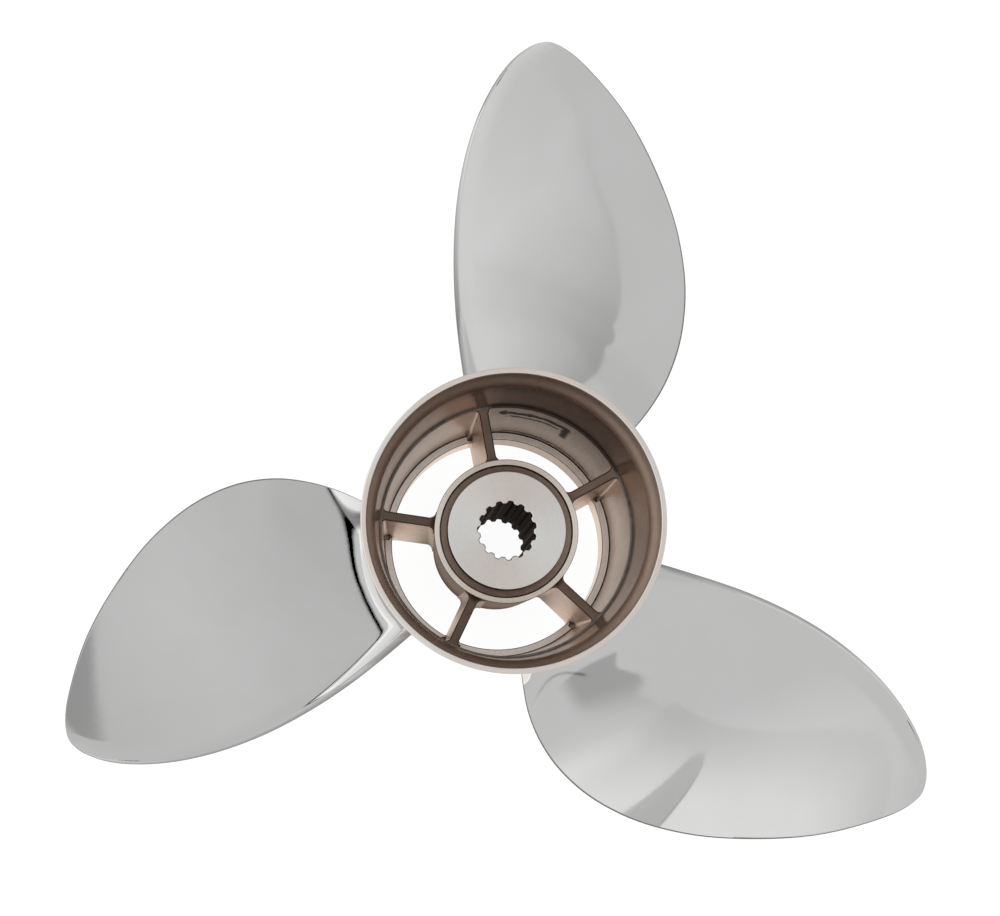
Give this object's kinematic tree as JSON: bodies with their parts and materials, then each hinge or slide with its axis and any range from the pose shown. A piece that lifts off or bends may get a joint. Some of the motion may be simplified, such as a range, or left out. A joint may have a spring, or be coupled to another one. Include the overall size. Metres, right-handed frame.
{
  "type": "outboard motor propeller",
  "caption": "Right-hand outboard propeller with raked, cupped blades on a through-hub exhaust barrel, a strutted inner hub, a rubber drive bush and a splined bore.",
  "frame": {"origin": "centroid of the propeller, on the shaft axis", "axes": "+Z along the shaft axis, aft, away from the engine; +Y in the plane of the axis and blade_1"},
  "size_m": [0.3064, 0.2893, 0.132],
  "materials": {
    "polished_steel": "mirror polished stainless steel",
    "rim_steel": "satin stainless steel",
    "cast_steel": "as-cast stainless steel, brown from heat",
    "hub_steel": "turned stainless steel",
    "turned_steel": "faced stainless steel with fine turning marks",
    "rubber": "moulded rubber"
  },
  "bodies": {
    "root": {"exhaust_barrel": "cast_steel", "diffuser_ring": "rim_steel", "blade_1": "polished_steel", "blade_2": "polished_steel", "blade_3": "polished_steel", "strut_1": "cast_steel", "strut_2": "cast_steel", "strut_3": "cast_steel", "strut_4": "cast_steel", "strut_5": "cast_steel", "inner_hub": "hub_steel", "rubber_bush": "rubber", "splined_sleeve": "turned_steel"}
  },
  "joints": []
}
